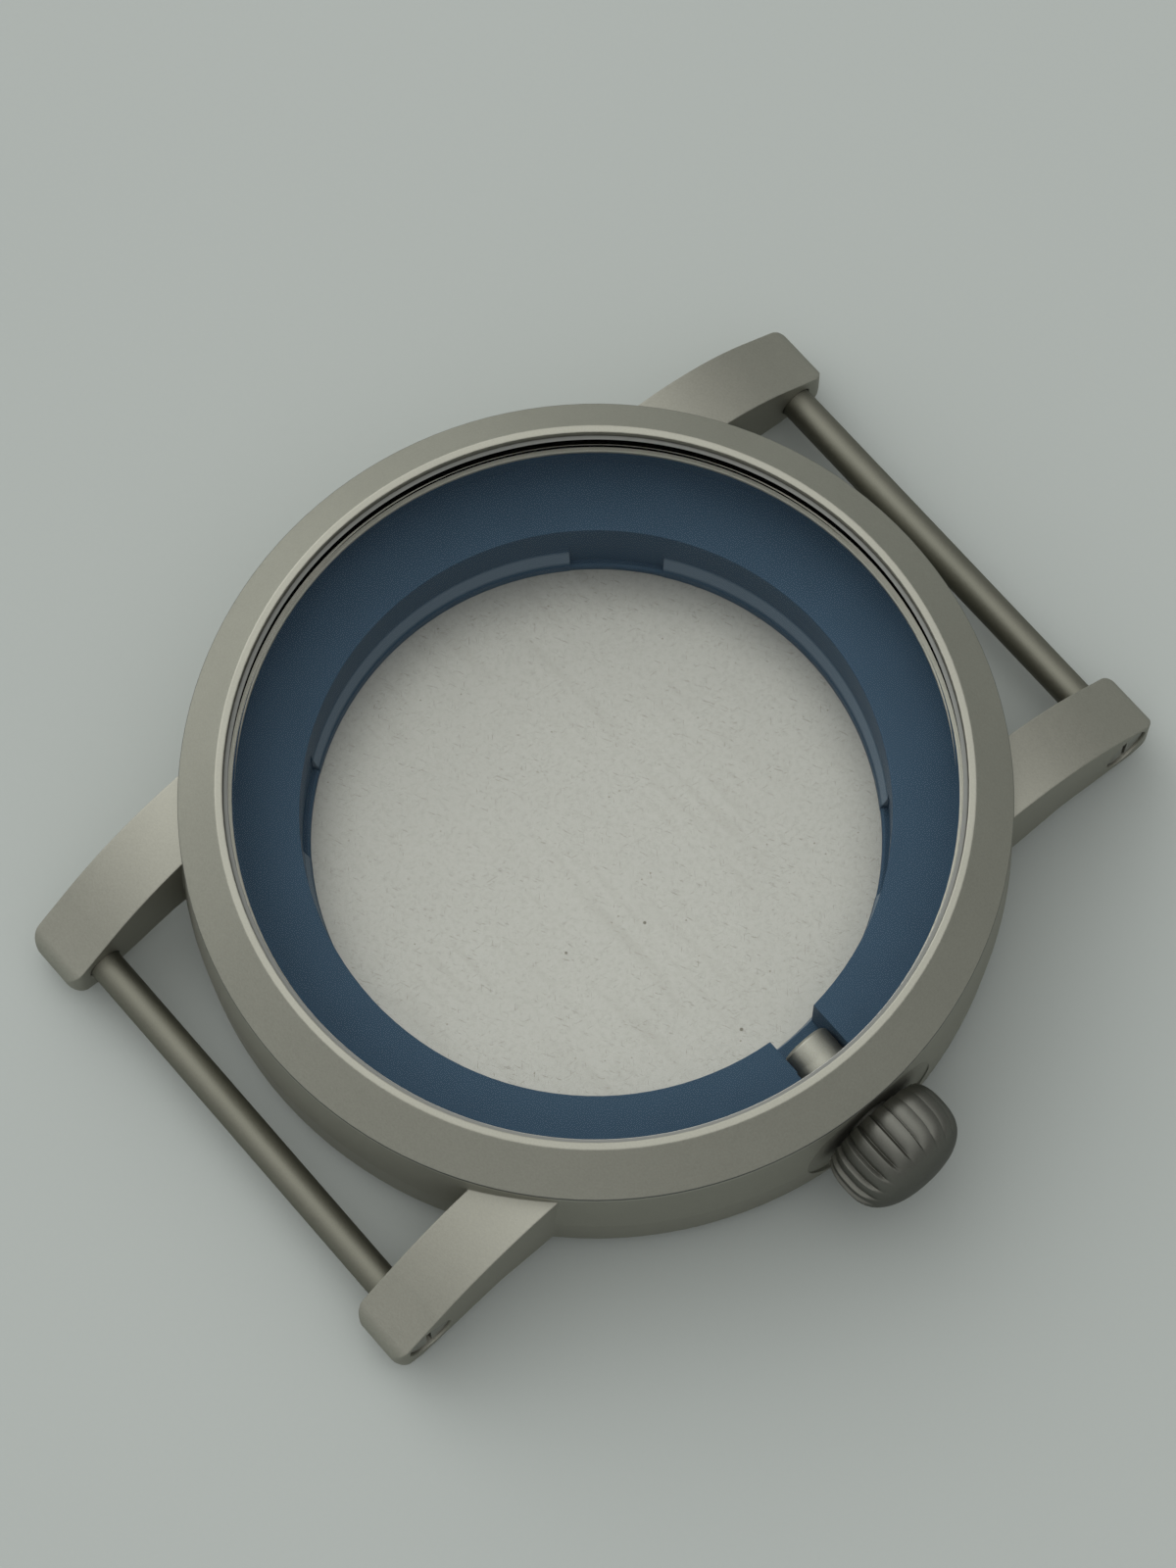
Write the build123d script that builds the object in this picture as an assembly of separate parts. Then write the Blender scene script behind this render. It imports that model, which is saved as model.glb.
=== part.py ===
from build123d import *
import math
import os

os.makedirs("parts", exist_ok=True)

# Lengths are in millimetres. +X points to the crown, +Y to the upper lugs and +Z up through the crystal.
# Height 0 is the outer face of the caseback, and radii are counted from the axis of the case.

# Fits and helpers
seat_gap = 0.02
press_clearance = 0.02
running_clearance = 0.05
overrun = 2.0
quarter_turn = 90.0
full_turn = 360.0

# Case middle
case_radius = 21.36
case_bottom_z = 1.2
case_top_z = 9.13
case_wall = 1.56
belly_bulge = 0.3
belly_z = 4.6
foot_bulge = 0.19
foot_chamfer = 0.22
neck_width = 0.7
thread_step = 0.65
thread_length = 2.1
bore_radius = case_radius - case_wall
neck_radius = bore_radius + neck_width
thread_radius = bore_radius + thread_step
thread_top_z = case_bottom_z + thread_length
belly_radius = case_radius + belly_bulge

# Caseback and its seal
back_flange_setback = 0.36
back_bevel_width = 2.0
back_bevel_height = 0.95
back_inner_rise = 0.05
back_collar_width = 0.5
back_collar_clearance = 0.1
back_notch_count = 6
back_notch_width = 2.2
back_notch_depth = 0.55
back_notch_length = 0.8
back_seal_width = 0.42
back_seal_height = 0.4
back_flange_radius = case_radius - back_flange_setback
back_inner_z = case_bottom_z + back_inner_rise
seal_groove_radius = thread_radius + back_seal_width + running_clearance
seal_groove_top_z = case_bottom_z + back_seal_height + running_clearance

# Lugs, with their lengths and heights counted from the strap bar
bar_offset = 2.34
bar_z = 2.6
lug_inner_x = 11.3
lug_width = 3.6
lug_root_drop = 0.45
lug_slope_reach = 0.7
lug_slope_drop = 4.0
lug_brink_length = 2.9
lug_toe_reach = 1.4
lug_toe_drop = 1.8
lug_heel_reach = 0.6
lug_heel_inner_drop = 1.62
lug_heel_outer_drop = 2.0
lug_arch_reach = 4.6
lug_arch_drop = 0.3
lug_corner_radius = 0.8
lug_outer_x = lug_inner_x + lug_width
bar_y = belly_radius + bar_offset
lug_root_y = math.sqrt(bore_radius ** 2 - lug_outer_x ** 2)

# Strap bars and their screws
bar_radius = 0.9
bar_end_gap = 0.1
bar_bore_radius = 0.55
bar_bore_depth = 4.6
screw_recess = 0.15
screw_head_radius = 1.28
screw_head_length = 1.02
screw_head_clearance = 0.08
screw_shank_length = 3.6
screw_slot_width = 0.3
screw_slot_depth = 0.42
screw_head_x = lug_outer_x - screw_recess - screw_head_length
bar_half_length = screw_head_x - bar_end_gap

# Bezel
bezel_overhang = 0.03
bezel_rim_height = 0.17
bezel_height = 2.25
bezel_slope_width = 2.07
bezel_flat_width = 0.37
bezel_shelf_width = 0.5
bezel_shelf_thickness = 0.18
bezel_radius = case_radius + bezel_overhang
bezel_slope_top_radius = bezel_radius - bezel_slope_width
bezel_wall_radius = bezel_slope_top_radius - bezel_flat_width
bezel_shelf_radius = bezel_wall_radius - bezel_shelf_width
bezel_foot_z = case_top_z + seat_gap
bezel_top_z = bezel_foot_z + bezel_height

# Crystal and its gasket
crystal_gap = 0.26
crystal_drop = 0.24
crystal_thickness = 1.5
crystal_bevel_width = 0.36
crystal_bevel_height = 0.16
gasket_drop = 0.18
crystal_radius = bezel_wall_radius - crystal_gap
crystal_top_z = bezel_top_z - crystal_drop
crystal_bottom_z = crystal_top_z - crystal_thickness
shelf_z = crystal_bottom_z - seat_gap
shelf_under_z = shelf_z - bezel_shelf_thickness
neck_top_z = shelf_under_z - seat_gap

# Movement ring
ring_rim_width = 0.55
ring_rim_play = 0.1
ring_floor_z = 6.3
ring_body_width = 4.42
ring_ledge_width = 0.33
ring_ledge_top_z = 3.4
ring_ledge_bottom_z = 1.9
relief_count = 4
relief_span_degrees = 19.0
relief_first_degrees = 45.0
relief_setback = 0.1
relief_top_z = 4.0
relief_chamfer = 0.35
notch_width = 2.96
notch_sill_z = 3.4
notch_sill_width = 1.07
notch_wall = 1.15
ring_radius = bore_radius - running_clearance
ring_rim_radius = ring_radius - ring_rim_width
ring_inner_radius = ring_radius - ring_body_width
ring_ledge_radius = ring_inner_radius - ring_ledge_width

# Crown, its tube, seal and washer
stem_z = 4.9
spotface_radius = 4.1
spotface_depth = 0.46
tube_radius = 1.25
tube_bore_radius = 0.8
tube_stub = 0.4
tube_reach = 2.4
tube_end_gap = 0.15
crown_gap = 0.4
crown_radius = 3.4
crown_length = 4.05
stem_hole_radius = 0.45
stem_hole_depth = 0.75
washer_radius = 2.0
washer_thickness = 0.4
washer_setback = 0.1
crown_seal_radius = 1.8
crown_seal_length = 0.6
flute_count = 22
flute_depth = 0.24
flute_steep_share = 0.12
flute_crown_share = 0.2
crown_length_shares = (0, 0.07, 0.2, 0.4, 0.6, 0.74, 0.83, 0.9, 0.94)
crown_radius_shares = (0.88, 0.94, 0.985, 1, 0.98, 0.92, 0.82, 0.66, 0.5)
flute_depth_shares = (1, 1, 1, 1, 1, 0.9, 0.7, 0.4, 0.1)
spotface_x = belly_radius - spotface_depth
crown_back_x = spotface_x + crown_gap
tube_inner_x = bore_radius - tube_stub
tube_outer_x = crown_back_x + tube_reach
washer_start_x = crown_back_x + washer_setback
washer_end_x = washer_start_x + washer_thickness
crown_seal_x = washer_end_x + running_clearance

FOOT = (Align.CENTER, Align.CENTER, Align.MIN)
SIDE = (Align.MIN, Align.CENTER, Align.MIN)


def point(radius, height):
    """Point in the radius and height plane of the turned parts."""
    return Vector(radius, 0, height)


def turned(corners):
    """Solid turned about the axis of the case from straight lines between radius and height corners."""
    outline = Polyline([point(radius, height) for radius, height in corners], close=True)
    return revolve(make_face(outline), Axis.Z)


def rod_along_x(radius, start_x, end_x):
    """Round rod along X between two positions, on the X axis."""
    rod = Cylinder(radius, end_x - start_x, rotation=(0, quarter_turn, 0), align=FOOT)
    return Pos(start_x, 0, 0) * rod


def tube_along_x(outer_radius, inner_radius, start_x, end_x):
    """Round tube along X between two positions, on the X axis."""
    return rod_along_x(outer_radius, start_x, end_x) - rod_along_x(inner_radius, start_x - overrun, end_x + overrun)


def four_ways(shape):
    """The same shape at the four lugs, mirrored from the one at +X and +Y."""
    right_pair = [shape, mirror(shape, Plane.XZ)]
    return right_pair + [mirror(side, Plane.YZ) for side in right_pair]


def case_round():
    """Solid round body of the case middle with its belly, foot chamfer, shoulder and neck for the bezel."""
    foot_radius = case_radius + foot_bulge
    return turned([
        (0, case_bottom_z), (foot_radius - foot_chamfer, case_bottom_z), (foot_radius, case_bottom_z + foot_chamfer),
        (belly_radius, belly_z), (case_radius, case_top_z), (neck_radius, case_top_z), (neck_radius, neck_top_z),
        (0, neck_top_z)])


def case_hollow():
    """Space that is turned out of the case middle: bore, thread for the back and groove for its seal."""
    below_z = case_bottom_z - overrun
    above_z = neck_top_z + overrun
    return turned([
        (0, below_z), (seal_groove_radius, below_z), (seal_groove_radius, seal_groove_top_z),
        (thread_radius, seal_groove_top_z), (thread_radius, thread_top_z), (bore_radius, thread_top_z),
        (bore_radius, above_z), (0, above_z)])


def side_point(y, z):
    """Point on the inner flank of a lug."""
    return Vector(lug_inner_x, y, z)


def lug_side():
    """Inner flank of a lug: top that curves down from the root to a rounded tip."""
    start = side_point(lug_root_y, case_top_z - lug_root_drop)
    slope = side_point(bar_y - lug_slope_reach, case_top_z - lug_slope_drop)
    toe = side_point(bar_y + lug_toe_reach, bar_z - lug_toe_drop)
    heel = side_point(bar_y + lug_heel_reach, bar_z - lug_heel_outer_drop)
    root = side_point(lug_root_y, bar_z - lug_heel_outer_drop)
    top = TangentArc(start, slope, tangent=Vector(0, 1, 0))
    falling = top % 1
    end = slope + falling * lug_brink_length
    nose = TangentArc(end, toe, tangent=falling)
    return make_face([top, Line(slope, end), nose] + Polyline([toe, heel, root, start]).edges())


def lug_under():
    """Room below a lug: it rises from the heel, which is higher at the inner flank, and stays level to the root."""
    sides = []
    for face_x, heel_drop in ((lug_inner_x, lug_heel_inner_drop), (lug_outer_x, lug_heel_outer_drop)):
        heel = Vector(face_x, bar_y + lug_heel_reach, bar_z - heel_drop)
        arch = Vector(face_x, bar_y - lug_arch_reach, bar_z - lug_arch_drop)
        root = Vector(face_x, lug_root_y, bar_z - lug_arch_drop)
        below = Vector(face_x, lug_root_y, -overrun)
        ahead = Vector(face_x, bar_y + lug_heel_reach, -overrun)
        sides.append(make_face(Polyline([heel, arch, root, below, ahead], close=True)))
    return loft(sides, ruled=True)


def lug():
    """One lug, with rounded corners at its tip."""
    block = extrude(lug_side(), lug_width, dir=(1, 0, 0))
    length = block.bounding_box().max.Y - lug_root_y
    plan = Pos(lug_inner_x, lug_root_y, 0) * Rectangle(lug_width, length, align=Align.MIN)
    plan = fillet(plan.vertices().sort_by(Axis.Y)[-2:], lug_corner_radius)
    return (block & extrude(plan, case_top_z + overrun)) - lug_under()


def bar_hole():
    """Hole for a strap bar through a lug with the counterbore for its screw."""
    hole = rod_along_x(bar_radius + running_clearance, lug_inner_x - overrun, lug_outer_x + overrun)
    counterbore = rod_along_x(screw_head_radius + screw_head_clearance, screw_head_x - seat_gap, lug_outer_x + overrun)
    return Pos(0, bar_y, bar_z) * (hole + counterbore)


def mid_case():
    """Case middle: round body and four lugs, bored for the movement, back, crown tube and strap bars."""
    body = case_round()
    for each in four_ways(lug()):
        body += each
    body -= case_hollow()
    for each in four_ways(bar_hole()):
        body -= each
    tube_hole = rod_along_x(tube_radius + press_clearance, bore_radius - overrun, belly_radius + overrun)
    spotface = rod_along_x(spotface_radius, spotface_x, belly_radius + overrun)
    return body - Pos(0, 0, stem_z) * (tube_hole + spotface)


def bezel():
    """Conical bezel that fits over the neck of the case, with a shelf for the crystal."""
    rebate_radius = neck_radius + press_clearance
    rim_z = bezel_foot_z + bezel_rim_height
    return turned([
        (bezel_shelf_radius, shelf_under_z), (rebate_radius, shelf_under_z), (rebate_radius, bezel_foot_z),
        (bezel_radius, bezel_foot_z), (bezel_radius, rim_z), (bezel_slope_top_radius, bezel_top_z),
        (bezel_wall_radius, bezel_top_z), (bezel_wall_radius, shelf_z), (bezel_shelf_radius, shelf_z)])


def crystal():
    """Flat crystal with a bevelled upper edge."""
    bevel_z = crystal_top_z - crystal_bevel_height
    top_radius = crystal_radius - crystal_bevel_width
    return turned([
        (0, crystal_bottom_z), (crystal_radius, crystal_bottom_z), (crystal_radius, bevel_z),
        (top_radius, crystal_top_z), (0, crystal_top_z)])


def sleeve(inner_radius, outer_radius, bottom_z, top_z):
    """Plain round sleeve about the axis of the case."""
    return turned([(inner_radius, bottom_z), (outer_radius, bottom_z), (outer_radius, top_z), (inner_radius, top_z)])


def crystal_gasket():
    """Thin sleeve that grips the crystal in the bezel."""
    inner_radius = crystal_radius + press_clearance
    outer_radius = bezel_wall_radius - press_clearance
    return sleeve(inner_radius, outer_radius, crystal_bottom_z, crystal_top_z - gasket_drop)


def movement_ring_body():
    """Turned shape of the movement ring: raised rim, floor, inner wall and ledge."""
    foot_z = back_inner_z + seat_gap
    rim_top_z = shelf_under_z - ring_rim_play
    return turned([
        (ring_ledge_radius, foot_z), (ring_radius, foot_z), (ring_radius, rim_top_z), (ring_rim_radius, rim_top_z),
        (ring_rim_radius, ring_floor_z), (ring_inner_radius, ring_floor_z), (ring_inner_radius, ring_ledge_top_z),
        (ring_ledge_radius, ring_ledge_bottom_z)])


def relief():
    """Sector that cuts one zone of the ledge back to the inner wall, with a slope at its upper edge."""
    wall_radius = ring_inner_radius + relief_setback
    clear_radius = ring_ledge_radius - relief_setback
    slope_z = relief_top_z + relief_chamfer
    corners = [
        (clear_radius, 0), (wall_radius, 0), (wall_radius, relief_top_z), (wall_radius - relief_chamfer, slope_z),
        (clear_radius, slope_z)]
    outline = Polyline([point(radius, height) for radius, height in corners], close=True)
    sector = revolve(make_face(outline), Axis.Z, relief_span_degrees)
    return Rot(0, 0, relief_first_degrees - relief_span_degrees / 2) * sector


def stem_notch():
    """Room for the stem: a notch down to a sill and a pocket through the bottom outside it."""
    sill_radius = ring_inner_radius + notch_sill_width
    above = Box(bore_radius, notch_width, neck_top_z, align=SIDE)
    pocket = Box(bore_radius - notch_wall - sill_radius, notch_width, neck_top_z, align=SIDE)
    return Pos(ring_ledge_radius - relief_setback, 0, notch_sill_z) * above + Pos(sill_radius, 0, 0) * pocket


def movement_ring():
    """Plastic ring that holds a movement, with four relieved zones and the stem notch."""
    ring = movement_ring_body()
    for place in range(relief_count):
        ring -= Rot(0, 0, place * full_turn / relief_count) * relief()
    return ring - stem_notch()


def caseback():
    """Screw-in back with a collar, a bevelled flange and notches for an opening tool."""
    flange_z = case_bottom_z - seat_gap
    collar_outer = thread_radius - running_clearance
    collar_inner = collar_outer - back_collar_width
    collar_top_z = thread_top_z - back_collar_clearance
    face_radius = back_flange_radius - back_bevel_width
    back = turned([
        (0, 0), (face_radius, 0), (back_flange_radius, back_bevel_height), (back_flange_radius, flange_z),
        (collar_outer, flange_z), (collar_outer, collar_top_z), (collar_inner, collar_top_z),
        (collar_inner, back_inner_z), (0, back_inner_z)])
    notch = Pos(face_radius - back_notch_length, 0, -overrun) * Box(
        back_notch_length + back_bevel_width + overrun, back_notch_width, overrun + back_notch_depth, align=SIDE)
    for place in range(back_notch_count):
        back -= Rot(0, 0, place * full_turn / back_notch_count) * notch
    return back


def caseback_gasket():
    """Seal in the corner groove of the case middle above the flange of the back."""
    return sleeve(thread_radius, thread_radius + back_seal_width, case_bottom_z, case_bottom_z + back_seal_height)


def strap_bar():
    """Tube between two lugs, bored at both ends for its screws, on the X axis."""
    bar = rod_along_x(bar_radius, -bar_half_length, bar_half_length)
    bore = rod_along_x(bar_bore_radius, bar_half_length - bar_bore_depth, bar_half_length + overrun)
    return bar - bore - mirror(bore, Plane.YZ)


def bar_screw():
    """Slotted screw of a strap bar with its head towards +X, on the X axis."""
    head_end_x = screw_head_x + screw_head_length
    head = rod_along_x(screw_head_radius, screw_head_x, head_end_x)
    shank = rod_along_x(bar_bore_radius - running_clearance, screw_head_x - screw_shank_length, screw_head_x)
    slot_height = screw_head_radius + screw_head_radius + overrun
    slot = Pos(head_end_x, 0, 0) * Box(screw_slot_depth + screw_slot_depth, screw_slot_width, slot_height)
    return head + shank - slot


def crown_tube():
    """Tube through the wall of the case, on the X axis."""
    return tube_along_x(tube_radius, tube_bore_radius, tube_inner_x, tube_outer_x)


def around_x(x, radius, steps):
    """Point around the X axis, counted in flute steps."""
    angle = math.radians(steps * full_turn / flute_count)
    return Vector(x, radius * math.cos(angle), radius * math.sin(angle))


def fluted_section(x, radius, depth):
    """Cross-section of the crown: a short steep side and a long crowned side for every flute."""
    corners = []
    for place in range(flute_count):
        corners.append(around_x(x, radius - depth, place))
        corners.append(around_x(x, radius, place + flute_steep_share))
        corners.append(around_x(x, radius - depth * flute_crown_share, place + (1 + flute_steep_share) / 2))
    return make_face(Polyline(corners, close=True))


def crown_blank():
    """Outside of the crown: flutes over its rounded side that run out on the dome, and a smooth cap."""
    sections = []
    for length_share, radius_share, depth_share in zip(crown_length_shares, crown_radius_shares, flute_depth_shares):
        x = crown_back_x + crown_length * length_share
        sections.append(fluted_section(x, crown_radius * radius_share, flute_depth * depth_share))
    cap_x = crown_back_x + crown_length * crown_length_shares[-1]
    cap_radius = crown_radius * crown_radius_shares[-1] - flute_depth * flute_depth_shares[-1]
    edge = Vector(cap_x, 0, cap_radius)
    tip = Vector(crown_back_x + crown_length, 0, 0)
    dome = TangentArc(tip, edge, tangent=Vector(0, 0, 1))
    cap = revolve(make_face(dome + Polyline([edge, Vector(cap_x, 0, 0), tip])), Axis.X)
    return loft(sections, ruled=True) + cap


def crown():
    """Fluted crown, bored for the tube, its seal, the washer and a stem."""
    mouth_x = crown_back_x - overrun
    bore_end_x = tube_outer_x + tube_end_gap
    body = crown_blank()
    body -= rod_along_x(tube_radius + running_clearance, mouth_x, bore_end_x)
    body -= rod_along_x(washer_radius + press_clearance, mouth_x, washer_end_x + seat_gap)
    body -= rod_along_x(crown_seal_radius + running_clearance, mouth_x, crown_seal_x + crown_seal_length + seat_gap)
    return body - rod_along_x(stem_hole_radius, mouth_x, bore_end_x + stem_hole_depth)


def crown_gasket():
    """Seal between the crown and its tube, on the X axis."""
    seal_end_x = crown_seal_x + crown_seal_length
    return tube_along_x(crown_seal_radius, tube_radius + running_clearance, crown_seal_x, seal_end_x)


def crown_washer():
    """Washer in the mouth of the crown, on the X axis."""
    return tube_along_x(washer_radius, tube_radius + running_clearance, washer_start_x, washer_end_x)


def placed_pieces():
    """Every piece at its place, by name."""
    at_stem = Pos(0, 0, stem_z)
    pieces = {
        "mid_case": mid_case(),
        "bezel": bezel(),
        "crystal": crystal(),
        "crystal_gasket": crystal_gasket(),
        "movement_ring": movement_ring(),
        "caseback": caseback(),
        "caseback_gasket": caseback_gasket(),
        "crown_tube": at_stem * crown_tube(),
        "crown": at_stem * crown(),
        "crown_washer": at_stem * crown_washer(),
        "crown_gasket": at_stem * crown_gasket(),
    }
    for hour, bar_side_y in (("12", bar_y), ("6", -bar_y)):
        at_bar = Pos(0, bar_side_y, bar_z)
        pieces["strap_bar_" + hour] = at_bar * strap_bar()
        pieces["bar_screw_" + hour + "_right"] = at_bar * bar_screw()
        pieces["bar_screw_" + hour + "_left"] = at_bar * mirror(bar_screw(), Plane.YZ)
    return pieces


for name, piece in placed_pieces().items():
    piece.label = name
    export_step(piece, "parts/" + name + ".step")
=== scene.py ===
import math

import bmesh
import bpy
from mathutils import Matrix, Vector


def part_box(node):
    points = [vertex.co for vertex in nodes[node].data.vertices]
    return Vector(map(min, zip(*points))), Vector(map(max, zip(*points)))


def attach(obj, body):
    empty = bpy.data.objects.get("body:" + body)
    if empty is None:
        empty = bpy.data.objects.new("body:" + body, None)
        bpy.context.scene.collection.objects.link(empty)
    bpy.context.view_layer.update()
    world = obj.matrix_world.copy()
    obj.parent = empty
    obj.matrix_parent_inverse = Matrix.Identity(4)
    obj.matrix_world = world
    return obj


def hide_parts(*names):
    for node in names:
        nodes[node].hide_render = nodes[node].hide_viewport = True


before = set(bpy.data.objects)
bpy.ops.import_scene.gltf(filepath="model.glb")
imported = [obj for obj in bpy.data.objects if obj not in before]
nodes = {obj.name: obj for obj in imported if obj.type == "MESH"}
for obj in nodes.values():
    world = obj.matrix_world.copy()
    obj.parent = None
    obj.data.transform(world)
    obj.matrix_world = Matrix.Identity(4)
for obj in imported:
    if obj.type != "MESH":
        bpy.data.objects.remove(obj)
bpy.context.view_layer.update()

MM = 0.001


# Node helpers

def new_material(name):
    """Material with an empty node tree but for its output and a Principled shader."""
    made = bpy.data.materials.new(name)
    made.use_nodes = True
    tree = made.node_tree
    tree.nodes.clear()
    output = tree.nodes.new("ShaderNodeOutputMaterial")
    shader = tree.nodes.new("ShaderNodeBsdfPrincipled")
    tree.links.new(shader.outputs["BSDF"], output.inputs["Surface"])
    return made, tree, shader, output


def place_coordinates(tree):
    """Object coordinates in metres, the same as the frame of the part."""
    return tree.nodes.new("ShaderNodeTexCoord").outputs["Object"]


def noise(tree, where, size_mm, detail=2.0, rough=0.5):
    """Noise whose features are about size_mm across."""
    node = tree.nodes.new("ShaderNodeTexNoise")
    node.inputs["Scale"].default_value = 1.0 / (size_mm * MM)
    node.inputs["Detail"].default_value = detail
    node.inputs["Roughness"].default_value = rough
    tree.links.new(where, node.inputs["Vector"])
    return node.outputs["Fac"]


def ramp(tree, value, stops):
    """Colour ramp through (position, colour) stops."""
    node = tree.nodes.new("ShaderNodeValToRGB")
    elements = node.color_ramp.elements
    while len(elements) < len(stops):
        elements.new(0.5)
    for element, (position, colour) in zip(elements, stops):
        element.position = position
        element.color = colour if len(colour) == 4 else (*colour, 1.0)
    tree.links.new(value, node.inputs["Fac"])
    return node.outputs["Color"]


def span(tree, value, low, high, to_low, to_high):
    """Value mapped from low..high to to_low..to_high, clamped."""
    node = tree.nodes.new("ShaderNodeMapRange")
    node.clamp = True
    ends = (("From Min", low), ("From Max", high), ("To Min", to_low), ("To Max", to_high))
    for name, number in ends:
        node.inputs[name].default_value = number
    tree.links.new(value, node.inputs["Value"])
    return node.outputs["Result"]


def sums(tree, operation, first, second):
    """Math node of two values, each a socket or a number."""
    node = tree.nodes.new("ShaderNodeMath")
    node.operation = operation
    for socket, value in zip(node.inputs, (first, second)):
        if isinstance(value, (int, float)):
            socket.default_value = value
        else:
            tree.links.new(value, socket)
    return node.outputs[0]


def blend_colours(tree, share, first, second, mode="MIX"):
    """Mix of two colours, each a socket or a tuple, by a share that is a socket or a number."""
    node = tree.nodes.new("ShaderNodeMix")
    node.data_type = "RGBA"
    node.blend_type = mode
    sockets = {s.identifier: s for s in node.inputs}
    for key, value in (("Factor_Float", share), ("A_Color", first), ("B_Color", second)):
        if isinstance(value, (int, float)):
            sockets[key].default_value = value
        elif isinstance(value, tuple):
            sockets[key].default_value = value if len(value) == 4 else (*value, 1.0)
        else:
            tree.links.new(value, sockets[key])
    return next(s for s in node.outputs if s.identifier == "Result_Color")


def bump(tree, height, depth_mm, strength=1.0, under=None):
    """Bump of depth_mm over another normal."""
    node = tree.nodes.new("ShaderNodeBump")
    node.inputs["Strength"].default_value = strength
    node.inputs["Distance"].default_value = depth_mm * MM
    tree.links.new(height, node.inputs["Height"])
    if under is not None:
        tree.links.new(under, node.inputs["Normal"])
    return node.outputs["Normal"]


def soft_edges(tree, radius_mm):
    """Normal with softened edges of that radius."""
    node = tree.nodes.new("ShaderNodeBevel")
    node.samples = 6
    node.inputs["Radius"].default_value = radius_mm * MM
    return node.outputs["Normal"]


def around_axis(tree, where):
    """Distance from the axis of the case, and the x, y and z of the place, in metres."""
    split = tree.nodes.new("ShaderNodeSeparateXYZ")
    tree.links.new(where, split.inputs[0])
    squares = sums(tree, "ADD", sums(tree, "MULTIPLY", split.outputs[0], split.outputs[0]),
                   sums(tree, "MULTIPLY", split.outputs[1], split.outputs[1]))
    return sums(tree, "SQRT", squares, 0.0), split.outputs


# Materials

# Most of a noise lies between these values.
NOISE_RANGE = (0.25, 0.75)


def base_tone(material):
    """Node tree and Principled shader of a material, and the socket that feeds its base colour."""
    tree = material.node_tree
    shader = next(node for node in tree.nodes if node.type == "BSDF_PRINCIPLED")
    return tree, shader, shader.inputs["Base Color"].links[0].from_socket


def off_level(tree, height, level_mm):
    """Distance of a height from a level."""
    return sums(tree, "ABSOLUTE", sums(tree, "SUBTRACT", height, level_mm * MM), 0.0)


METAL_SPECKLE = ((0.3, (0.86, 0.86, 0.86)), (0.7, (1.0, 1.0, 1.0)))


def metal(name, dark, light, rough, grain_mm=0.12, grain_depth_mm=0.006, edge_mm=0.12, graze=0.6):
    """Satin metal: cloudy tone, fine grain and softened edges, darkened by graze at low angles."""
    glossier, duller = 0.05, 0.07
    made, tree, shader, _ = new_material(name)
    where = place_coordinates(tree)
    clouds = noise(tree, where, size_mm=6.0, detail=4.0, rough=0.6)
    grain = noise(tree, where, grain_mm, detail=3.0, rough=0.65)
    tone = blend_colours(tree, clouds, dark, light)
    speckle = ramp(tree, grain, METAL_SPECKLE)
    satin = span(tree, grain, *NOISE_RANGE, rough - glossier, rough + duller)
    tree.links.new(blend_colours(tree, 1.0, tone, speckle, "MULTIPLY"), shader.inputs["Base Color"])
    tree.links.new(satin, shader.inputs["Roughness"])
    shader.inputs["Metallic"].default_value = 1.0
    shader.inputs["Specular Tint"].default_value = (graze, graze, graze, 1.0)
    tree.links.new(bump(tree, grain, grain_depth_mm, 1.0, soft_edges(tree, edge_mm)), shader.inputs["Normal"])
    return made


# Height, half width, amount and colour of the lines painted at the joint of bezel and case: painted shade in
# the joint under the bezel's rim, and a painted highlight on the case's edge below it.
SEAM_SHADE_AND_HIGHLIGHT_LINES = ((9.22, 0.14, 0.8, (0.09, 0.1, 0.105)), (8.95, 0.14, 0.4, (0.6, 0.59, 0.52)))
# Share of that half width which has the full amount.
SEAM_CORE_SHARE = 0.7
# The lines come in between these radii, so the inner faces have none.
SEAM_RADII = (20.9, 21.1)


def blasted_steel():
    """Blasted steel of the case and bezel, with painted shade along the joint and a painted highlight on the
    case's edge under the bezel.
    """
    made = metal("blasted_steel", (0.375, 0.37, 0.32), (0.425, 0.42, 0.365), rough=0.50)
    tree, shader, tone = base_tone(made)
    away, axes = around_axis(tree, place_coordinates(tree))
    outer = span(tree, away, SEAM_RADII[0] * MM, SEAM_RADII[1] * MM, 0.0, 1.0)
    # Each pass paints one line: a painted shade line under the bezel's rim, then a painted highlight line on
    # the case's edge.
    for middle, half, amount, colour in SEAM_SHADE_AND_HIGHLIGHT_LINES:
        off = off_level(tree, axes[2], middle)
        line = span(tree, off, half * SEAM_CORE_SHARE * MM, half * MM, amount, 0.0)
        tone = blend_colours(tree, sums(tree, "MULTIPLY", line, outer), tone, colour)
    tree.links.new(tone, shader.inputs["Base Color"])
    return made


def crown_steel():
    """Dark satin steel of the crown and its tube."""
    return metal("crown_steel", (0.14, 0.14, 0.124), (0.19, 0.19, 0.17), rough=0.42,
                 grain_mm=0.1, grain_depth_mm=0.004, edge_mm=0.06)


def bar_steel():
    """Darker steel of the strap bars."""
    return metal("bar_steel", (0.19, 0.19, 0.155), (0.24, 0.235, 0.195), rough=0.5,
                 grain_mm=0.1, grain_depth_mm=0.003, edge_mm=0.06)


def screw_steel():
    """Paler steel of the bar screws."""
    return metal("screw_steel", (0.42, 0.42, 0.38), (0.48, 0.48, 0.44), rough=0.4,
                 grain_mm=0.1, grain_depth_mm=0.003, edge_mm=0.05)


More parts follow.
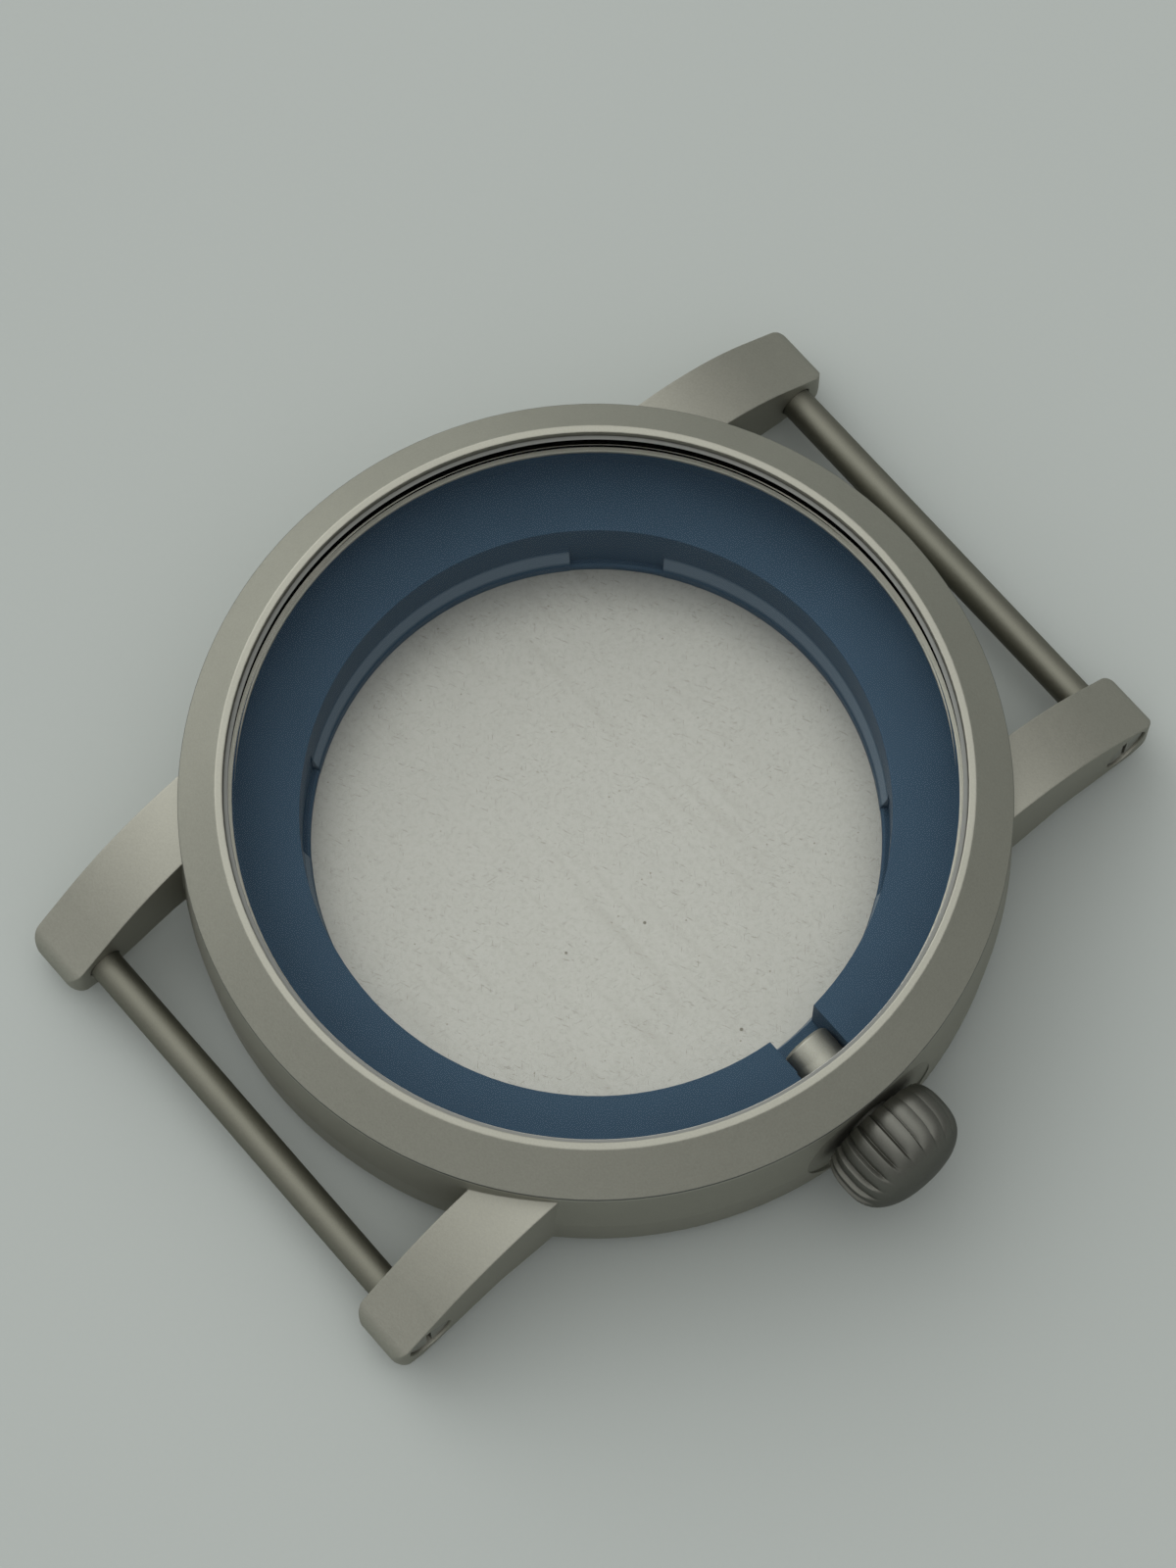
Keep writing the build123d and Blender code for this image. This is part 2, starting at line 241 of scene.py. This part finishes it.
def streaks(tree, where, turn_degrees, across_mm, along_mm):
    """Noise drawn out along one direction of the floor plane."""
    place = tree.nodes.new("ShaderNodeMapping")
    place.vector_type = "TEXTURE"
    place.inputs["Rotation"].default_value = (0, 0, math.radians(turn_degrees))
    place.inputs["Scale"].default_value = (along_mm, across_mm, along_mm)
    tree.links.new(where, place.inputs["Vector"])
    return noise(tree, place.outputs["Vector"], size_mm=1.0)


SPECK_RANGE = (0.5, 0.56)


def specks(tree, where, apart_mm, size_share, amount):
    """Scattered dots: about one each apart_mm, of which a noise keeps some."""
    core_share = 0.6
    patch_mm = apart_mm * 1.7
    dots = tree.nodes.new("ShaderNodeTexVoronoi")
    dots.inputs["Scale"].default_value = 1.0 / (apart_mm * MM)
    tree.links.new(where, dots.inputs["Vector"])
    dot = span(tree, dots.outputs["Distance"], size_share * core_share, size_share, 1.0, 0.0)
    kept = span(tree, noise(tree, where, patch_mm, detail=1.0), *SPECK_RANGE, 0.0, amount)
    return sums(tree, "MULTIPLY", dot, kept)


# Heights between which the outside of the back gives way to the pale disc inside.
DISC_HEIGHTS = (1.15, 1.2)
OUTSIDE_TONES = ((0.375, 0.37, 0.335), (0.425, 0.42, 0.38))
DISC_TONES = ((0.425, 0.425, 0.395), (0.465, 0.465, 0.432))
DISC_MOTTLE = ((0.36, (0.88, 0.877, 0.865)), (0.5, (0.965, 0.965, 0.958)), (0.62, (1.0, 1.0, 1.0)))
DISC_ROUGHNESS = (0.46, 0.56)
# Soft wipes on the disc: where they show, what of their noise does, and their amount and colour.
WIPE_ZONE = (0.46, 0.6)
WIPE_RANGE = (0.5, 0.66)
WIPE_AMOUNT = 0.3
WIPE_TONE = (0.35, 0.345, 0.31)
# Direction, width, length, threshold and amount of the short fibres on the disc.
FIBRES = ((25, 0.07, 0.5, 0.66, 0.6), (-40, 0.07, 0.6, 0.67, 0.6), (80, 0.06, 0.5, 0.67, 0.5))
FIBRE_TONE = (0.24, 0.235, 0.2)
FIBRE_EDGE = 0.04
# Distance apart, size, amount and colour of the specks on the disc.
DISC_SPECKS = ((0.8, 0.075, 0.8, (0.22, 0.21, 0.17)), (2.3, 0.05, 0.9, (0.15, 0.14, 0.11)))


def disc_tone(tree, where, clouds, grain):
    """Pale colour of the disc, with mottling, soft wipes, fibres and specks."""
    pale = blend_colours(tree, clouds, *DISC_TONES)
    pale = blend_colours(tree, 1.0, pale, ramp(tree, grain, DISC_MOTTLE), "MULTIPLY")
    zone = span(tree, noise(tree, where, size_mm=6.0, detail=1.0), *WIPE_ZONE, 0.0, 1.0)
    lines = streaks(tree, where, turn_degrees=2.0, across_mm=0.7, along_mm=12.0)
    wipes = sums(tree, "MULTIPLY", span(tree, lines, *WIPE_RANGE, 0.0, WIPE_AMOUNT), zone)
    pale = blend_colours(tree, wipes, pale, WIPE_TONE)
    for turn, across, along, start, amount in FIBRES:
        lines = streaks(tree, where, turn, across, along)
        hair = span(tree, lines, start, start + FIBRE_EDGE, 0.0, amount)
        pale = blend_colours(tree, hair, pale, FIBRE_TONE)
    for apart, size, amount, colour in DISC_SPECKS:
        pale = blend_colours(tree, specks(tree, where, apart, size, amount), pale, colour)
    return pale


def back_steel():
    """Caseback: plain satin outside, and a pale disc inside with the fibres and specks that it shows."""
    made, tree, shader, _ = new_material("back_steel")
    where = place_coordinates(tree)
    _, axes = around_axis(tree, where)
    inside = span(tree, axes[2], DISC_HEIGHTS[0] * MM, DISC_HEIGHTS[1] * MM, 0.0, 1.0)
    clouds = noise(tree, where, size_mm=5.0, detail=4.0, rough=0.6)
    grain = noise(tree, where, size_mm=0.3, detail=4.0, rough=0.75)
    plain = blend_colours(tree, clouds, *OUTSIDE_TONES)
    pale = disc_tone(tree, where, clouds, grain)
    tree.links.new(blend_colours(tree, inside, plain, pale), shader.inputs["Base Color"])
    tree.links.new(span(tree, grain, *NOISE_RANGE, *DISC_ROUGHNESS), shader.inputs["Roughness"])
    shader.inputs["Metallic"].default_value = 1.0
    skin = bump(tree, grain, depth_mm=0.003, under=soft_edges(tree, radius_mm=0.12))
    tree.links.new(skin, shader.inputs["Normal"])
    return made


def plastic(name, dark, light, rough, grain_mm, depth_mm, gloss=0.5, edge_mm=0.08):
    """Moulded plastic: slight mottling, fine skin and softened edges."""
    glossier, duller = 0.02, 0.03
    made, tree, shader, _ = new_material(name)
    where = place_coordinates(tree)
    clouds = noise(tree, where, size_mm=2.5, detail=3.0)
    grain = noise(tree, where, grain_mm)
    satin = span(tree, clouds, *NOISE_RANGE, rough - glossier, rough + duller)
    tree.links.new(blend_colours(tree, clouds, dark, light), shader.inputs["Base Color"])
    tree.links.new(satin, shader.inputs["Roughness"])
    shader.inputs["Specular IOR Level"].default_value = gloss
    tree.links.new(bump(tree, grain, depth_mm, 1.0, soft_edges(tree, edge_mm)), shader.inputs["Normal"])
    return made


# Painted highlight on the sloping ledge of the ring: colour, strength, height of its middle, reach up and
# down with a soft edge, and the radii between which it ends.
LEDGE_HIGHLIGHT_TONE = (0.15, 0.2, 0.25)
LEDGE_HIGHLIGHT_AMOUNT = 0.85
LEDGE_Z = 2.75
LEDGE_REACH = (0.4, 0.65)
LEDGE_RADII = (15.35, 15.38)


def blue_plastic():
    """Blue plastic of the movement ring, with a painted highlight along its sloping ledge."""
    made = plastic("blue_plastic", (0.040, 0.073, 0.112), (0.046, 0.083, 0.127), rough=0.42,
                   grain_mm=0.5, depth_mm=0.0004, gloss=0.02)
    tree, shader, tone = base_tone(made)
    away, axes = around_axis(tree, place_coordinates(tree))
    # The band along the inner face at the ledge's height is lightened as a painted highlight.
    inner = span(tree, away, LEDGE_RADII[0] * MM, LEDGE_RADII[1] * MM, 1.0, 0.0)
    off = off_level(tree, axes[2], LEDGE_Z)
    band = span(tree, off, LEDGE_REACH[0] * MM, LEDGE_REACH[1] * MM, LEDGE_HIGHLIGHT_AMOUNT, 0.0)
    ledge = sums(tree, "MULTIPLY", band, inner)
    tree.links.new(blend_colours(tree, ledge, tone, LEDGE_HIGHLIGHT_TONE), shader.inputs["Base Color"])
    return made


def clear_plastic():
    """Milky plastic of the crystal's gasket and the crown's washer."""
    return plastic("clear_plastic", (0.20, 0.205, 0.195), (0.24, 0.245, 0.23), rough=0.4,
                   grain_mm=0.5, depth_mm=0.0004)


def black_rubber():
    """Rubber of the seals."""
    return plastic("black_rubber", (0.012, 0.012, 0.012), (0.022, 0.022, 0.021), rough=0.6,
                   grain_mm=0.15, depth_mm=0.006)


GLASS_TINT = (0.985, 0.995, 0.99, 1.0)
GLASS_INDEX = 1.2
MIRROR_TINT = (0.5, 0.55, 0.6, 1.0)
SMEAR_RANGE = (0.45, 0.75)
SMEAR_ROUGHNESS = 0.01


def mix_shaders(tree, share, first, second):
    """Mix of two shaders by a share."""
    node = tree.nodes.new("ShaderNodeMixShader")
    tree.links.new(share, node.inputs["Fac"])
    tree.links.new(first.outputs[0], node.inputs[1])
    tree.links.new(second.outputs[0], node.inputs[2])
    return node


def crystal_glass():
    """Clear glass with faint smears: it bends what is seen, and lets lamps and bounced light through."""
    made, tree, shader, output = new_material("crystal")
    smears = noise(tree, place_coordinates(tree), size_mm=4.0, detail=3.0, rough=0.6)
    tree.links.new(span(tree, smears, *SMEAR_RANGE, 0.0, SMEAR_ROUGHNESS), shader.inputs["Roughness"])
    shader.inputs["Base Color"].default_value = GLASS_TINT
    shader.inputs["Transmission Weight"].default_value = 1.0
    shader.inputs["IOR"].default_value = GLASS_INDEX
    shader.inputs["Specular Tint"].default_value = MIRROR_TINT
    leaving = tree.nodes.new("ShaderNodeBsdfRefraction")
    leaving.inputs["IOR"].default_value = GLASS_INDEX
    leaving.inputs["Roughness"].default_value = 0.0
    clear = tree.nodes.new("ShaderNodeBsdfTransparent")
    path = tree.nodes.new("ShaderNodeLightPath").outputs
    mirrored = sums(tree, "SUBTRACT", path["Is Glossy Ray"], path["Is Transmission Ray"])
    bounced = sums(tree, "MAXIMUM", path["Is Diffuse Ray"], mirrored)
    through = sums(tree, "MAXIMUM", path["Is Shadow Ray"], bounced)
    seen = mix_shaders(tree, path["Is Transmission Ray"], shader, leaving)
    tree.links.new(mix_shaders(tree, through, seen, clear).outputs[0], output.inputs["Surface"])
    return made


FLOOR_TONES = ((0.40, 0.43, 0.415), (0.425, 0.452, 0.437))
FLOOR_GRAIN_RANGE = (0.3, 0.7)
FLOOR_ROUGHNESS = (0.72, 0.82)


def floor_paper():
    """Smooth matt paper of the floor."""
    made, tree, shader, _ = new_material("floor_paper")
    where = place_coordinates(tree)
    clouds = noise(tree, where, size_mm=60.0)
    grain = noise(tree, where, size_mm=0.25)
    tree.links.new(blend_colours(tree, clouds, *FLOOR_TONES), shader.inputs["Base Color"])
    tree.links.new(span(tree, grain, *FLOOR_GRAIN_RANGE, *FLOOR_ROUGHNESS), shader.inputs["Roughness"])
    tree.links.new(bump(tree, grain, depth_mm=0.004, strength=0.5), shader.inputs["Normal"])
    return made


# Finish of the frame's own nodes

def give(material, *names):
    """Puts a material on CAD nodes."""
    for name in names:
        mesh = nodes[name].data
        mesh.materials.clear()
        mesh.materials.append(material)


on_case = blasted_steel()
give(on_case, "mid_case", "bezel")
give(back_steel(), "caseback")
on_ring = blue_plastic()
give(on_ring, "movement_ring")
on_crown = crown_steel()
give(on_crown, "crown", "crown_tube")
give(bar_steel(), "strap_bar_12", "strap_bar_6")
give(screw_steel(), "bar_screw_12_right", "bar_screw_12_left", "bar_screw_6_right", "bar_screw_6_left")
on_crystal = crystal_glass()
give(on_crystal, "crystal")
give(clear_plastic(), "crystal_gasket", "crown_washer")
give(black_rubber(), "crown_gasket", "caseback_gasket")


# Pieces made in mesh code

def as_piece(mesh, name, material, sharp_degrees):
    """Object with a mesh, shaded smooth but for edges sharper than that angle."""
    bmesh.ops.recalc_face_normals(mesh, faces=mesh.faces)
    data = bpy.data.meshes.new(name)
    mesh.to_mesh(data)
    mesh.free()
    data.shade_smooth()
    data.set_sharp_from_angle(angle=math.radians(sharp_degrees))
    piece = bpy.data.objects.new(name, data)
    bpy.context.scene.collection.objects.link(piece)
    data.materials.append(material)
    return piece


def ring_by_ring(name, loops, material, sharp_degrees):
    """Piece through rings of points. One point alone is a tip, and a last ring like the first closes it."""
    mesh = bmesh.new()
    rings = [[mesh.verts.new(place) for place in loop] for loop in loops]
    if loops[0] == loops[-1]:
        rings[-1] = rings[0]
    for first, second in zip(rings, rings[1:]):
        for step in range(max(len(first), len(second))):
            corners = [ring[place % len(ring)] for ring, place in (
                (first, step), (first, step + 1), (second, step + 1), (second, step))]
            mesh.faces.new(list(dict.fromkeys(corners)))
    loose = [vert for vert in mesh.verts if not vert.link_faces]
    bmesh.ops.delete(mesh, geom=loose, context="VERTS")
    return as_piece(mesh, name, material, sharp_degrees)


def circle(radius, height, steps):
    """Points of a level circle about the axis of the case."""
    turns = [2 * math.pi * step / steps for step in range(steps)]
    return [(radius * math.cos(turn), radius * math.sin(turn), height) for turn in turns]


# Crystal

# Width and height of the bevel around its top.
CRYSTAL_BEVEL = (0.36, 0.16)
CRYSTAL_STEPS = 360


def add_crystal():
    """Crystal with a truly round rim."""
    low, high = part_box("crystal")
    radius = (high.x - low.x) / 2
    width, height = (size * MM for size in CRYSTAL_BEVEL)
    outline = ((radius, low.z), (radius, high.z - height), (radius - width, high.z))
    rounds = [circle(out, level, CRYSTAL_STEPS) for out, level in outline]
    loops = [[(0, 0, low.z)], *rounds, [(0, 0, high.z)]]
    piece = ring_by_ring("round_crystal", loops, on_crystal, sharp_degrees=20)
    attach(piece, "case")
    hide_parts("crystal")


add_crystal()


# Crown

FLUTES = 22
FLUTE_DEPTH = 0.24 * MM
# Share of a flute that its steep side takes, and how strongly its long side is crowned.
FLUTE_STEEP = 0.12
FLUTE_CROWNING = 2.3
STEPS_PER_FLUTE = 16
# Shares of the length: the widest place, and where the flutes begin to fade and over how much.
BELLY_SHARE = 0.4
FADE_START = 0.58
FADE_LENGTH = 0.32
MOUTH_NARROWING = 0.12
DOME_POWER = 0.8
BELLY_RINGS = 12
DOME_RINGS = 40
# Depth from the mouth and radius of the steps in the bore: washer, seal, tube and stem.
CROWN_BORES = ((0.52, 2.02), (1.17, 1.85), (2.55, 1.3), (3.3, 0.45))


def crown_rings(length, radius):
    """Place along the crown, radius and flute share of each ring, from the mouth to the top of the dome."""
    rings = []
    for step in range(BELLY_RINGS):
        back = 1.0 - step / BELLY_RINGS
        out = radius * (1.0 - MOUTH_NARROWING * back ** 3)
        rings.append((BELLY_SHARE * (1.0 - back) * length, out, 1.0))
    for step in range(DOME_RINGS + 1):
        turn = math.pi / 2 * step / DOME_RINGS
        share = BELLY_SHARE + (1.0 - BELLY_SHARE) * math.sin(turn) ** DOME_POWER
        out = radius * max(math.cos(turn), 0.0) ** DOME_POWER
        fade = min(max((share - FADE_START) / FADE_LENGTH, 0.0), 1.0)
        rings.append((share * length, out, 1.0 - fade * fade * (3 - 2 * fade)))
    return rings


def flute_height(turns):
    """Height share of a flute: a short steep side, then a long crowned one."""
    place = turns % 1.0
    if place < FLUTE_STEEP:
        return place / FLUTE_STEEP
    return 1.0 - ((place - FLUTE_STEEP) / (1.0 - FLUTE_STEEP)) ** FLUTE_CROWNING


def add_crown():
    """Crown with smooth flutes that run out on its dome, and its stepped bore."""
    low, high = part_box("crown")
    centre_y, centre_z = (low.y + high.y) / 2, (low.z + high.z) / 2
    around = FLUTES * STEPS_PER_FLUTE

    def ring(depth, radius, flute_share):
        made = []
        for step in range(around):
            drop = FLUTE_DEPTH * flute_share * (1.0 - flute_height(step / STEPS_PER_FLUTE))
            angle = 2 * math.pi * step / around
            out = radius - drop
            made.append((low.x + depth, centre_y + out * math.cos(angle), centre_z + out * math.sin(angle)))
        return made

    outside = crown_rings(high.x - low.x, (high.z - low.z) / 2)
    inside = []
    start = 0.0
    for depth, radius in CROWN_BORES:
        inside += [(start * MM, radius * MM), (depth * MM, radius * MM)]
        start = depth
    loops = [[(low.x + inside[-1][0], centre_y, centre_z)]]
    loops += [ring(depth, radius, 0.0) for depth, radius in reversed(inside)]
    loops += [ring(depth, radius, share) for depth, radius, share in outside[:-1]]
    loops.append([(low.x + outside[-1][0], centre_y, centre_z)])
    piece = ring_by_ring("fluted_crown", loops, on_crown, sharp_degrees=50)
    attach(piece, "crown_unit")
    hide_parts("crown")


add_crown()


# Lip of the movement ring

# Directions of the zones and half the span of each, in degrees.
LIP_ZONES = (45, 135, 225, 315)
LIP_HALF_SPAN = 9.7
LIP_STEPS = 16
# Radius and height of the corners of its section.
LIP_SECTION = ((15.02, 1.29), (15.5, 1.29), (15.5, 1.72), (15.16, 1.8), (15.02, 1.68))


def add_ring_lip():
    """Low lip along the foot of each relieved zone of the movement ring."""
    mesh = bmesh.new()
    for middle in LIP_ZONES:
        sections = []
        for step in range(LIP_STEPS + 1):
            turn = math.radians(middle + LIP_HALF_SPAN * (2 * step / LIP_STEPS - 1))
            sections.append([
                mesh.verts.new((radius * MM * math.cos(turn), radius * MM * math.sin(turn), height * MM))
                for radius, height in LIP_SECTION])
        for first, second in zip(sections, sections[1:]):
            for corner in range(len(LIP_SECTION)):
                after = (corner + 1) % len(LIP_SECTION)
                mesh.faces.new((first[corner], first[after], second[after], second[corner]))
        mesh.faces.new(sections[0])
        mesh.faces.new(sections[-1])
    piece = as_piece(mesh, "ring_lip", on_ring, sharp_degrees=25)
    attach(piece, "case")


add_ring_lip()


# Inner end of the stem tube

STEM_Z = 4.9
# Distance from the axis of the case and radius of the corners of its section.
SLEEVE_OUTLINE = ((16.25, 0.8), (16.25, 1.25), (16.4, 1.4), (19.72, 1.4), (19.72, 0.8))
SLEEVE_STEPS = 64


def add_stem_sleeve():
    """Short steel sleeve seen in the notch of the movement ring, open for the stem."""
    turns = [2 * math.pi * step / SLEEVE_STEPS for step in range(SLEEVE_STEPS)]
    middle = STEM_Z * MM
    loops = []
    for place, radius in SLEEVE_OUTLINE:
        out = radius * MM
        loops.append([(place * MM, out * math.cos(turn), middle + out * math.sin(turn)) for turn in turns])
    piece = ring_by_ring("stem_sleeve", loops + loops[:1], on_case, sharp_degrees=30)
    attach(piece, "case")


add_stem_sleeve()


# Floor, light and camera

# Half the floor's side and its gap under the back, in metres.
FLOOR_HALF = 1.6
FLOOR_GAP = 0.00002


def add_floor():
    """Large flat floor just below the back."""
    mesh = bpy.data.meshes.new("floor")
    corners = [(FLOOR_HALF * x, FLOOR_HALF * y, 0) for x, y in ((-1, -1), (1, -1), (1, 1), (-1, 1))]
    mesh.from_pydata(corners, [], [(0, 1, 2, 3)])
    floor = bpy.data.objects.new("floor", mesh)
    floor.location.z = -FLOOR_GAP
    bpy.context.scene.collection.objects.link(floor)
    mesh.materials.append(floor_paper())


# Azimuth, elevation and strength of the bright parts of the room, and its even level.
ROOM = ((180, 32, 2.29), (0, 90, 0.65), (30, 62, 0.42), (300, 32, 0.31), (240, 32, 0.14))
ROOM_LEVEL = 0.26
ROOM_FOCUS = 6.0
ROOM_TINT = (1.0, 1.01, 0.99)


def add_world():
    """Soft room light: a few broad bright parts that fade into each other."""
    world = bpy.data.worlds.new("room")
    world.use_nodes = True
    bpy.context.scene.world = world
    tree = world.node_tree
    tree.nodes.clear()
    output = tree.nodes.new("ShaderNodeOutputWorld")
    light = tree.nodes.new("ShaderNodeBackground")
    tree.links.new(light.outputs[0], output.inputs[0])
    where = tree.nodes.new("ShaderNodeTexCoord").outputs["Generated"]
    total = ROOM_LEVEL
    for azimuth, elevation, strength in ROOM:
        turn = math.radians(azimuth)
        across = math.cos(math.radians(elevation))
        near = tree.nodes.new("ShaderNodeVectorMath")
        near.operation = "DOT_PRODUCT"
        near.inputs[1].default_value = (
            across * math.cos(turn), across * math.sin(turn), math.sin(math.radians(elevation)))
        tree.links.new(where, near.inputs[0])
        fall = sums(tree, "MULTIPLY", sums(tree, "SUBTRACT", near.outputs["Value"], 1.0), ROOM_FOCUS)
        total = sums(tree, "ADD", sums(tree, "MULTIPLY", sums(tree, "EXPONENT", fall, 0.0), strength), total)
    tree.links.new(blend_colours(tree, 1.0, ROOM_TINT, total, "MULTIPLY"), light.inputs["Color"])
    light.inputs["Strength"].default_value = 1.0


# The fitted camera: its turns about x, y and z in degrees, where it sees the middle of the case's top
# in mm, the height of that top, and the focal length and the picture's height in pixels.
CAMERA_TURNS = (-17.973, -0.379, -49.163)
TOP_SEEN_AT = (0.374, 0.253, -250.6)
TOP_Z = 11.4
FOCAL_PIXELS = 5040.8
PICTURE_PIXELS = 1600.0
SENSOR_MM = 36.0


def add_camera():
    """Camera at the photograph's place: 72 degrees above the floor, from the side of the lower right lug."""
    about_x, about_y, about_z = (
        Matrix.Rotation(math.radians(degrees), 3, axis) for degrees, axis in zip(CAMERA_TURNS, "XYZ"))
    turn = about_x @ about_y @ about_z
    eye = turn.transposed() @ -Vector(TOP_SEEN_AT) * MM + Vector((0, 0, TOP_Z * MM))
    data = bpy.data.cameras.new("camera")
    data.sensor_fit = "VERTICAL"
    data.sensor_height = SENSOR_MM
    data.lens = SENSOR_MM * FOCAL_PIXELS / PICTURE_PIXELS
    data.clip_start = 0.01
    data.clip_end = 20.0
    camera = bpy.data.objects.new("camera", data)
    camera.matrix_world = Matrix.Translation(eye) @ turn.transposed().to_4x4()
    bpy.context.scene.collection.objects.link(camera)
    bpy.context.scene.camera = camera


add_floor()
add_world()
add_camera()
bpy.context.scene.view_settings.view_transform = "Standard"
